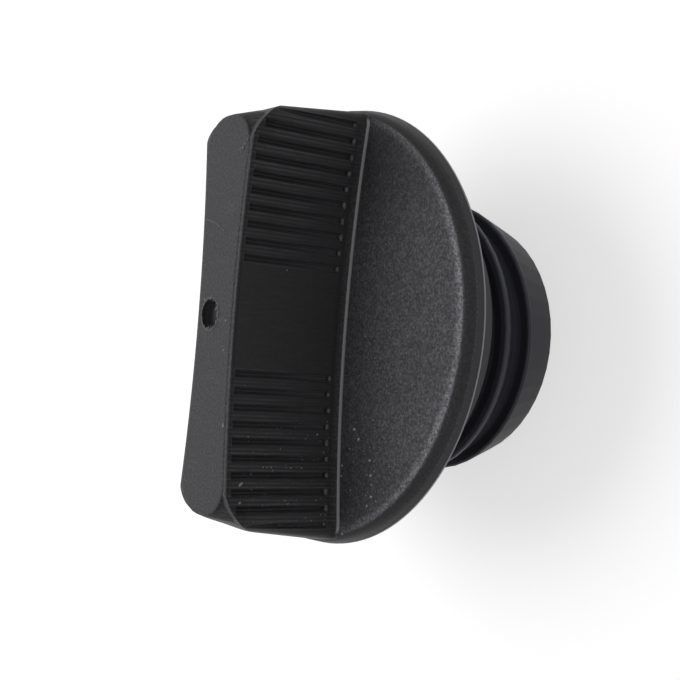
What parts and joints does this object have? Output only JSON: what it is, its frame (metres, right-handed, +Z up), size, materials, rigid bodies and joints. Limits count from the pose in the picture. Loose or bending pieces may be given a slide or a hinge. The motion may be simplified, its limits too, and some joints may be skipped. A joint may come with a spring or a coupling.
{
  "type": "oil filler cap",
  "caption": "Round screw-in oil filler cap with a waisted, finger-grooved grip bar across its disc and a hollow plug with a coarse screw thread and a flat rubber seal.",
  "frame": {"origin": "on the screw axis, at the level of the plug's open lower end", "axes": "+Z up the screw axis from the plug's open end to the grip bar, X along the grip bar, Y across it"},
  "size_m": [0.07, 0.07, 0.0518],
  "materials": {
    "knob_plastic": "glass-filled black nylon, spark-textured and dull, with smoother corners and a pale parting line",
    "plug_plastic": "black nylon with the low sheen of a smooth mould",
    "seal_rubber": "dull black oil-proof rubber"
  },
  "bodies": {
    "root": {"knob": "knob_plastic", "plug": "plug_plastic", "seal_ring": "seal_rubber"}
  },
  "joints": []
}
